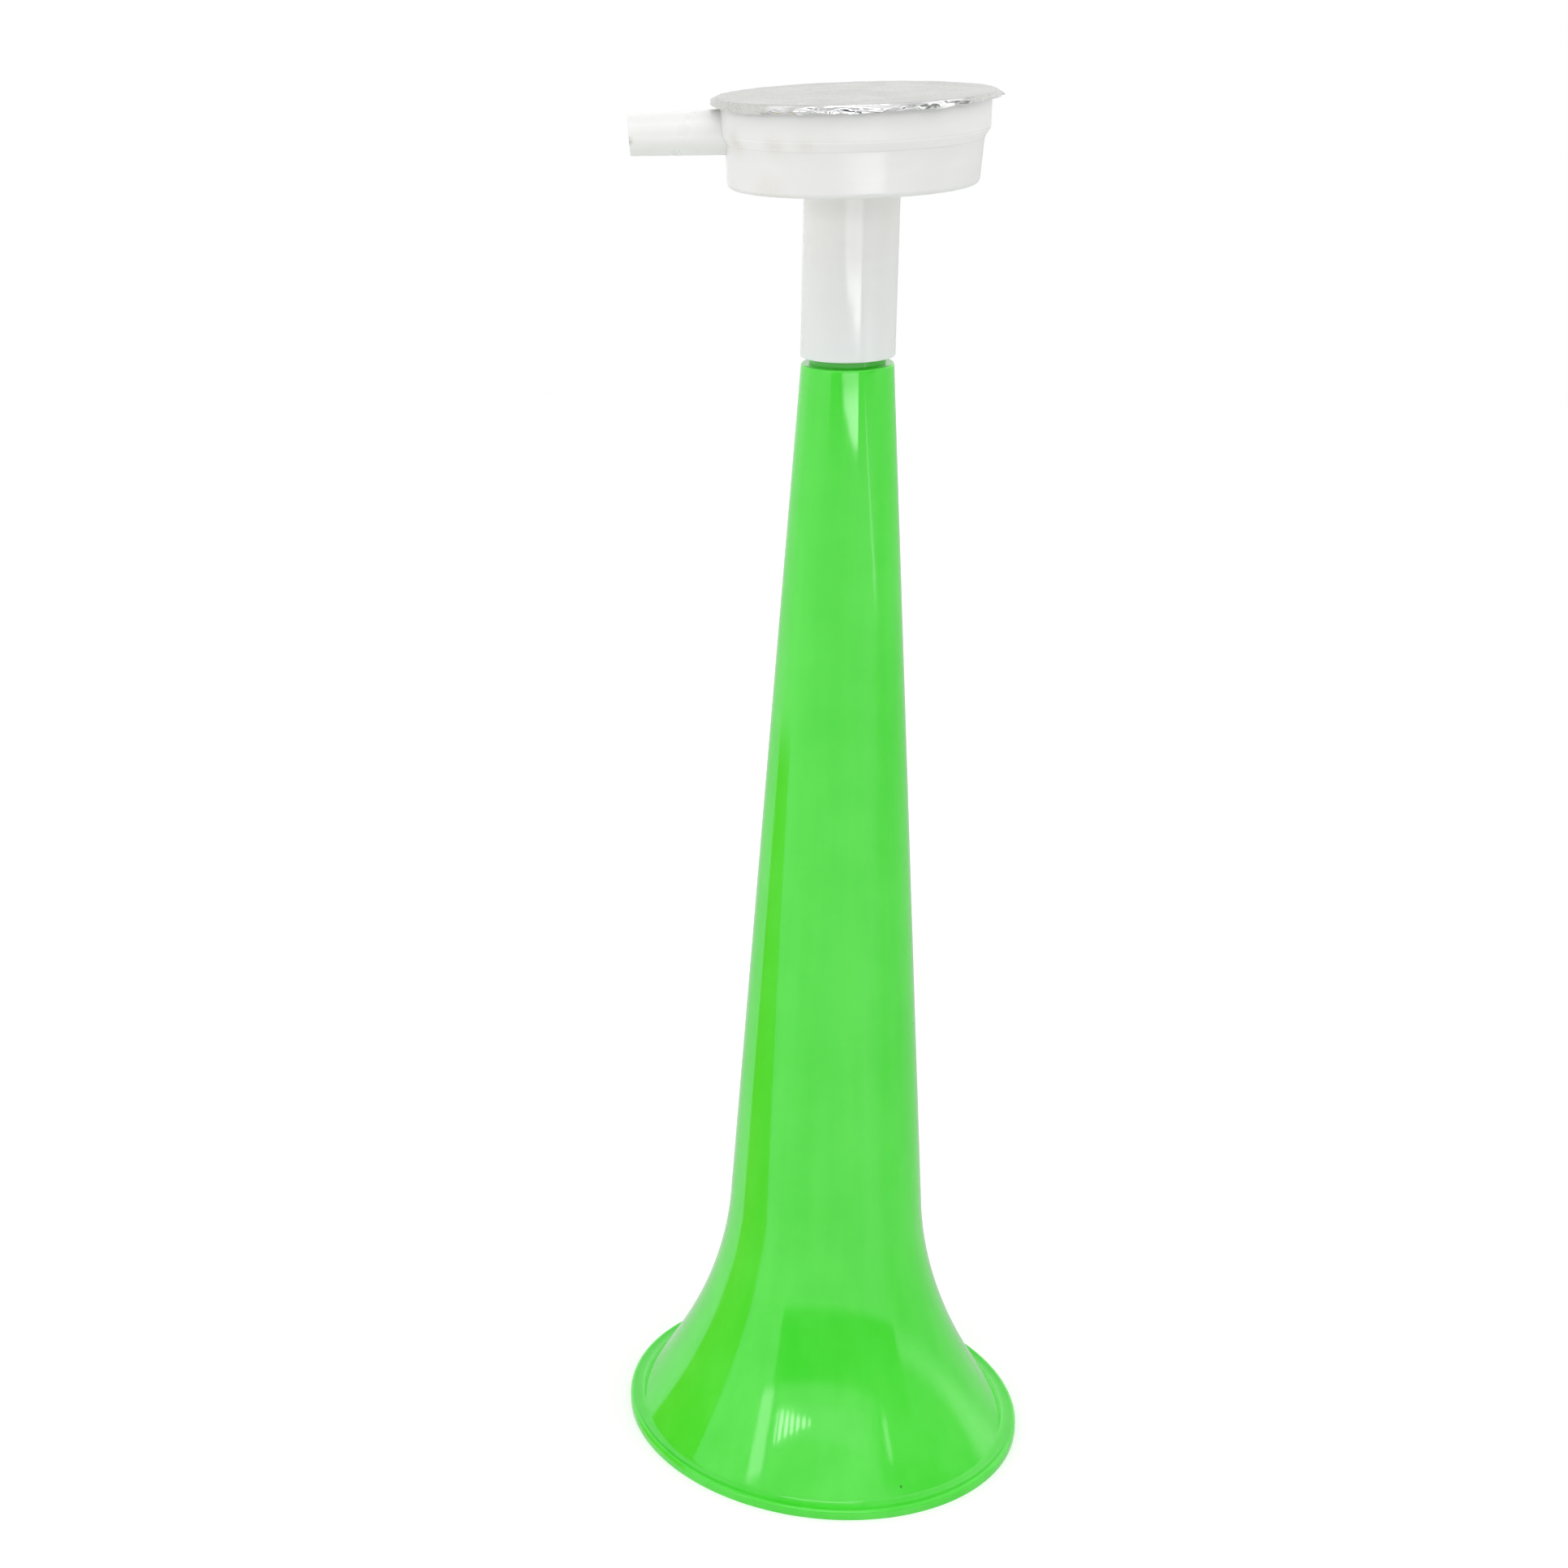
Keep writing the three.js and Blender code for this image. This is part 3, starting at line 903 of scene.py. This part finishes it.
@dataclass
class FoilLid:
    """The foil membrane: a taut disc, a rolled edge and a crumpled margin turned down.

    The disc has spans of radii with their counts, the roll (radius, distance under the top)
    and the underside radii. A swell is (degrees to the right of the front, width, what it adds
    to the margin's spread, what share it adds to its drop).
    """

    fits: Fits
    thickness: float = 0.3
    margin_thickness: float = 0.1
    disc_radius: float = 25.0
    disc: tuple[tuple[float, float, int], ...] = ((1.2, 22.2, 26), (22.6, 25.0, 9))
    roll: tuple[Span, ...] = ((25.16, 0.02), (25.30, 0.07), (25.39, 0.14))
    under: tuple[float, ...] = (25.0, 24.4, 14.0, 3.0)
    pole_sink: float = 0.06
    edge_radius: float = 25.42
    edge_drop: float = 0.22
    margin_drop: float = 1.25
    margin_spread: float = 0.62
    jitter_out: float = 0.40
    jitter_up: float = 0.10
    jitter_turn: float = 0.48
    pleat_depth: float = 0.10
    crease_depth: float = 0.05
    calm: float = 0.15
    swells: tuple[tuple[float, ...], ...] = (
        (97, 3.2, 1.2, -0.05),
        (-98, 11.0, 0.25, -0.70),
        (-40, 24, 0.0, 0.25),
        (62, 22, 0.0, -0.28),
    )
    turns: int = 132
    rows: int = 4
    front: float = 264.8
    seed: int = 31
    sharp: float = 60.0
    finish: Foil = Foil("crimped_foil")

    @property
    def top(self) -> float:
        """The height of the disc's upper face."""
        return self.fits.cup_top + self.fits.clearance + self.thickness

    def lively(self, angle: Array) -> Array:
        """How strongly the margin is crumpled at each angle, from calm to 1.

        It is 1 within the finish's crumple_half of its crumple_middle and beyond its
        crumple_behind, and falls off on a logistic curve, half way down after 6 degrees.
        """
        finish = self.finish
        turn = np.abs((np.degrees(angle) - finish.crumple_middle + 180) % 360 - 180)
        front = 1 / (1 + np.exp((turn - finish.crumple_half - 6) / 2.0))
        rear = 1 / (1 + np.exp((finish.crumple_behind - 6 - turn) / 2.0))
        return self.calm + (1 - self.calm) * np.maximum(front, rear)

    def creases(self, angle: Array) -> Array:
        """The slow wrinkles at the edge, as depths: (1 + sin(23 a + 3 sin 5 a)) / 2 of the most."""
        return self.crease_depth * (1 + np.sin(23 * angle + 3 * np.sin(5 * angle))) / 2

    def relief(self, radius: Array, angle: Array) -> Array:
        """How far the disc lies under its highest face, in millimetres.

        It sags by 0.09 inside the seal, rises by 0.05 over the tube's lip, has fine ripples of
        0.018, and its creases fade inwards with the fifth power of the radius.
        """
        inside = np.clip((23.0 - radius) / 1.2, 0, 1)
        sag = 0.09 * inside**2 * (3 - 2 * inside)
        lip = 0.05 * np.exp(-(((radius - 8.1) / 1.1) ** 2))
        reach = np.clip(radius / self.disc_radius, 0, 1) ** 5
        wave = 1.1 * radius * np.cos(angle - 0.6) + 2 * np.sin(0.5 * radius)
        ripple = 0.018 * (1 + np.sin(wave)) * np.minimum(radius / 6, 1)
        return sag - lip * inside + self.creases(angle) * reach + ripple

    def margin(self, angle: Array, rng: np.random.Generator) -> tuple[Array, Array, Array]:
        """The crumpled margin's vertices, row by row from the rolled edge to the hem.

        Row k lies at share t = k / rows: radius = edge + spread t^0.8 + jitter, height =
        -drop t + jitter, and the angle moves by up to jitter_turn of the spacing. The jitter is
        random, partly shared with the neighbouring places, and scaled by lively(). Where the
        margin is calm, three sines pleat it instead.

        Args:
            angle: the even angles round the disc.
            rng: the seeded source of the jitter.

        Returns:
            Radii, heights over the foot of the rolled edge, and angles, each rows + 1 by turns.
        """
        share = np.arange(self.rows + 1)[:, None] / self.rows
        shape = (self.rows + 1, self.turns)
        rough = rng.uniform(-1, 1, shape)
        near = (rough + 0.5 * np.roll(rough, 1, 1)) / 1.3
        life = self.lively(angle)[None]
        grow = np.clip(share * 2.2, 0, 1)
        pleat = 0.5 * np.sin(45 * angle) + 0.3 * np.sin(28 * angle + 1.3) + 0.2 * np.sin(17 * angle)
        out = self.jitter_out * life * grow * near
        out = out + self.pleat_depth * (1 + self.calm - life) * grow * pleat[None]
        turn = (np.degrees(angle) - self.front + 180) % 360 - 180
        spread, drop = self.margin_spread, 1.0
        for at, width, wider, lower in self.swells:
            swell = np.exp(-(((turn - at) / width) ** 2))
            spread, drop = spread + wider * swell, drop + lower * swell
        hem = 0.96 + 0.16 * near[-1] * life[0] + 0.06 * np.sin(7 * angle + 0.4)
        drop = drop * hem * self.margin_drop
        radius = self.edge_radius + spread * share**0.8 + out
        lift = self.jitter_up * life * grow * (1 - share) * rng.uniform(-1, 1, shape)
        spacing = 2 * np.pi / self.turns
        shift = self.jitter_turn * grow * life * rng.uniform(-1, 1, shape) * spacing
        return radius, lift - drop * share, angle + shift

    def rings(self, angle: Array, rng: np.random.Generator) -> list[Array]:
        """The lid's rings of points, from the upper pole over the edge and back inside.

        Returns:
            Those of the disc, the roll, the margin outside and inside, and the underside.
        """
        disc = np.concatenate([np.linspace(*span) for span in self.disc])[:, None]
        roll, depth = np.array(self.roll).T[..., None]
        sink = self.creases(angle)
        radius, height, twisted = self.margin(angle, rng)
        height = self.top - self.edge_drop + height
        height[0] -= sink
        inside = radius[::-1] - self.margin_thickness
        return [
            polar(disc, angle, self.top - self.relief(disc, angle)),
            polar(roll, angle, self.top - depth - sink),
            polar(radius, twisted, height),
            polar(inside, twisted[::-1], height[::-1]),
            polar(np.array(self.under)[:, None], angle, self.top - self.thickness),
        ]

    def build(self) -> None:
        """Joins the rings by quads, halves the margin's at random and closes both poles."""
        rng = np.random.default_rng(self.seed)
        angle = 2 * np.pi * np.arange(self.turns) / self.turns
        parts = self.rings(angle, rng)
        poles = [[0, 0, self.top - self.pole_sink], [0, 0, self.top - self.thickness]]
        points = np.concatenate([np.concatenate(parts).reshape(-1, 3), poles])
        here = np.arange(len(points) - 2).reshape(-1, self.turns)
        beside = np.roll(here, -1, axis=1)
        quads = np.stack([here[:-1], here[1:], beside[1:], beside[:-1]], 2)
        disc, roll, outside, inside, _ = map(len, parts)
        first = disc + roll - 1
        last = first + outside + inside
        smooth = np.concatenate([quads[:first], quads[last:]]).reshape(-1, 4)
        facets = quads[first:last].reshape(-1, 4)
        slash = rng.random(len(facets))[:, None] < 0.5
        one = np.where(slash, facets[:, [0, 1, 2]], facets[:, [0, 1, 3]])
        two = np.where(slash, facets[:, [0, 2, 3]], facets[:, [1, 2, 3]])
        pole = np.full(self.turns, len(points) - 2)
        fan = np.stack([pole, here[0], beside[0]], 1)
        fan_under = np.stack([pole + 1, beside[-1], here[-1]], 1)
        faces = [smooth, one, two, fan, fan_under]
        shading = [True, False, False, True, True]
        piece = mesh_object("foil_lid", points, faces, shading, self.sharp)
        seat(piece, self.finish, Body.HEAD, "foil_membrane")


# Studio


@dataclass(frozen=True)
class Patch:
    """A soft-edged window of the surroundings, in degrees to the right of the camera and up.

    Its height shrinks by taper from its left side to its right, and period sets upright stripes.
    """

    left: float
    right: float
    low: float
    high: float
    soft: float
    light: Colour
    taper: float = 0.0
    period: float = 0.0

    def share(self, pen: NodePen, side: Wire, up: Wire) -> Wire:
        """How much of the patch is seen in the direction side, up."""
        middle, half = (self.low + self.high) / 2, (self.high - self.low) / 2
        across = (side - self.left) * (1 / (self.right - self.left))
        tall = half * (1.0 - self.taper * across)
        seen = pen.within(side, self.left, self.right, self.soft)
        seen = seen * pen.step(abs(up - middle) - tall, 0.0, self.soft, 1.0, 0.0)
        if self.period:
            phase = side * (2 * math.pi / self.period)
            seen = seen * pen.step(phase.maths("SINE", phase), -0.5, 0.3)
        return seen


@dataclass(frozen=True)
class Card:
    """A curved studio card round the object, which only glossy surfaces see.

    Its sides are in degrees to the right of the camera, its heights in millimetres, and its left
    and right edges lean by so many degrees from its foot to its top.
    """

    name: str
    radius: float
    left: float
    right: float
    low: float
    high: float
    light: Colour
    soft: Span = (0.1, 0.1)
    lean: Span = (0.0, 0.0)

    def build(self, front: float) -> None:
        """Makes the card.

        A point at shares u and v stands on the circle of the card's radius, at height = low +
        v (high - low) and at side = (1 - u) (left + left lean v) + u (right + right lean v).

        Args:
            front: the camera's direction, as an angle round Z in radians.
        """
        columns = 32
        u, v = np.meshgrid(np.linspace(0, 1, columns), [0.0, 1.0])
        left, right = (edge + lean * v for edge, lean in zip((self.left, self.right), self.lean))
        side = np.radians((1 - u) * left + u * right)
        points = polar(self.radius, side + front, self.low + v * (self.high - self.low))
        foot, top = np.arange(2 * columns).reshape(2, columns)
        quads = np.stack([foot[:-1], foot[1:], top[1:], top[:-1]], 1)
        made = mesh_object(self.name, points.reshape(-1, 3), [quads], [True])
        corners = [loop.vertex_index for loop in made.data.loops]
        layer = made.data.uv_layers.new(name="card")
        layer.data.foreach_set("uv", np.stack([u.ravel(), v.ravel()], 1)[corners].ravel())
        made.data.materials.append(Glow(self.name, self.light, self.soft).material())
        made.visible_camera = made.visible_diffuse = made.visible_shadow = False
        made.visible_transmission = made.visible_volume_scatter = False


@dataclass
class Studio:
    """White surroundings with a few lighter and darker places, a white table and the camera.

    Turns are in degrees to the right of the camera, rises and sinks in degrees over the level.
    """

    place: Trio = (-0.0436, -0.4767, 0.3189)
    turn: Trio = (71.571, 2.682, 7.394)
    lens: float = 56.724
    shift: Span = (0.324, -0.0404)
    floor_rings: tuple[float, ...] = (69.0, 230.0, 575.0, 1150.0)
    floor_sides: int = 128
    floor_drop: float = 0.05
    around: Colour = (1.10, 1.10, 1.09)
    right_side: Colour = (1.36, 1.36, 1.35)
    right_turn: Span = (20, 80)
    behind: Colour = grey(0.86)
    behind_turn: Span = (105, 145)
    behind_low: Colour = (0.72, 0.73, 0.72)
    behind_shine: Colour = grey(1.2)
    behind_rise: Span = (-18, 0)
    low_shine: Colour = (0.62, 0.63, 0.62)
    low_turn: Span = (50, 85)
    low_sink: Span = (0, -8)
    dark: Colour = (0.36, 0.38, 0.36)
    dark_sides: Trio = (46, 104, 10)
    dark_heights: Trio = (5, 24, 6)
    above: Colour = grey(0.72)
    above_rise: Span = (30, 70)
    below: Colour = grey(0.80)
    below_sink: Span = (-30, -50)
    patches: tuple[Patch, ...] = (
        Patch(-37, 70, -3.0, 11, 3.5, (0.08, 0.10, 0.10)),
        Patch(-31, 33, 18, 23, 1.5, grey(1.5)),
        Patch(-32, -6, 17.8, 23.2, 0.3, grey(10.0), 0.95, 4.2),
        Patch(-44.5, -38, 14, 27, 2.0, grey(3.8)),
        Patch(48, 50, 16, 22, 0.8, grey(3.0)),
        Patch(-32, 36, 57, 66, 2.0, grey(4.5)),
    )
    cards: tuple[Card, ...] = (
        Card("wedge_light", 300, 22, 28.5, 187, 206, grey(6.6), (0.04, 0.06), (-34.5, 0)),
        Card("strip_light", 300, -12.5, 28.5, 207, 231, grey(3.2), (0.02, 0.12)),
        Card("cup_light", 300, -10, 32, 237, 253, grey(2.6), (0.12, 0.25)),
        Card("slanted_light", 300, 66, 75, 128, 207, grey(2.6), (0.3, 0.2), (-25.5, -31.5)),
        Card("warm_flag", 120, -108, -58, -60, 140, (0.48, 0.36, 0.0), (0.05, 0.12), (0, -24)),
    )

    @property
    def front(self) -> float:
        """The camera's direction from the object, as an angle round Z in radians."""
        return math.atan2(self.place[1], self.place[0])

    def camera(self) -> None:
        """Makes the camera at the photograph's place, with the shift that its framing needs."""
        data = bpy.data.cameras.new("photo_camera")
        data.sensor_width, data.lens = 36.0, self.lens
        data.shift_x, data.shift_y = self.shift
        data.clip_start, data.clip_end = 0.01, 20.0
        made = bpy.data.objects.new("photo_camera", data)
        made.location = self.place
        made.rotation_euler = [math.radians(x) for x in self.turn]
        bpy.context.scene.collection.objects.link(made)
        bpy.context.scene.camera = made

    def floor(self) -> None:
        """A round white table top just under the rim."""
        sides = self.floor_sides
        angle = 2 * np.pi * np.arange(sides) / sides
        points = polar(np.array(self.floor_rings)[:, None], angle, -self.floor_drop)
        here = np.arange(points.size // 3).reshape(-1, sides)
        beside = np.roll(here, -1, axis=1)
        quads = np.stack([here[:-1], here[1:], beside[1:], beside[:-1]], 2).reshape(-1, 4)
        floor = mesh_object("white_table", points.reshape(-1, 3), [quads, here[:1]], [True, True])
        floor.data.materials.append(PaleFloor("pale_floor").material())
        floor.visible_glossy = False

    def light(self) -> None:
        """Paints the surroundings by direction, and shows the camera plain white.

        side and up are the direction in degrees, to the right of the camera and over the level.
        """
        scene = bpy.context.scene
        world = bpy.data.worlds.new("white_studio")
        world.use_nodes = True
        scene.world = world
        pen = NodePen(world.node_tree)
        way = pen.place("Generated")
        x, y = math.cos(self.front), math.sin(self.front)
        facing, beside = pen.along(way, (x, y, 0.0)), pen.along(way, (-y, x, 0.0))
        side = beside.maths("ARCTAN2", beside, facing) * (180 / math.pi)
        rise = pen.along(way, UP)
        up = rise.maths("ARCSINE", rise) * (180 / math.pi)
        glossy = pen.node("ShaderNodeLightPath", output="Is Glossy Ray")
        light = pen.mix(pen.step(side, *self.right_turn), self.around, self.right_side)
        rear = pen.mix(pen.step(up, *self.behind_rise), self.behind_low, self.behind_shine)
        rear = pen.mix(glossy, self.behind, rear)
        light = pen.mix(pen.step(abs(side), *self.behind_turn), light, rear)
        low = pen.step(side, *self.low_turn) * pen.step(up, *self.low_sink)
        light = pen.mix(low * glossy, light, self.low_shine)
        dark = pen.within(side, *self.dark_sides) * pen.within(up, *self.dark_heights)
        light = pen.mix(dark * glossy, light, self.dark)
        light = pen.mix(pen.step(up, *self.above_rise), light, self.above)
        light = pen.mix(pen.step(up, *self.below_sink), light, self.below)
        for patch in self.patches:
            light = pen.mix(patch.share(pen, side, up), light, patch.light)
        seen = pen.node("ShaderNodeLightPath", output="Is Camera Ray")
        light = pen.mix(seen, light, grey(1.0))
        shine = pen.node("ShaderNodeBackground", {"Color": light})
        pen.node("ShaderNodeOutputWorld", {"Surface": shine})
        scene.view_settings.view_transform = "Standard"

    def build(self) -> None:
        """Sets up camera, table and light."""
        self.camera()
        self.floor()
        for card in self.cards:
            card.build(self.front)
        self.light()
        LOG.info("studio ready")


def main() -> None:
    """Builds the studio and the horn's pieces in order."""
    logging.basicConfig(level=logging.INFO, format="%(name)s %(message)s")
    Studio().build()
    fits = Fits()
    for part in (HornBell(fits), NeckTube(fits), AirCup(fits), BlowPipe(fits), FoilLid(fits)):
        part.build()


if __name__ == "__main__":
    main()
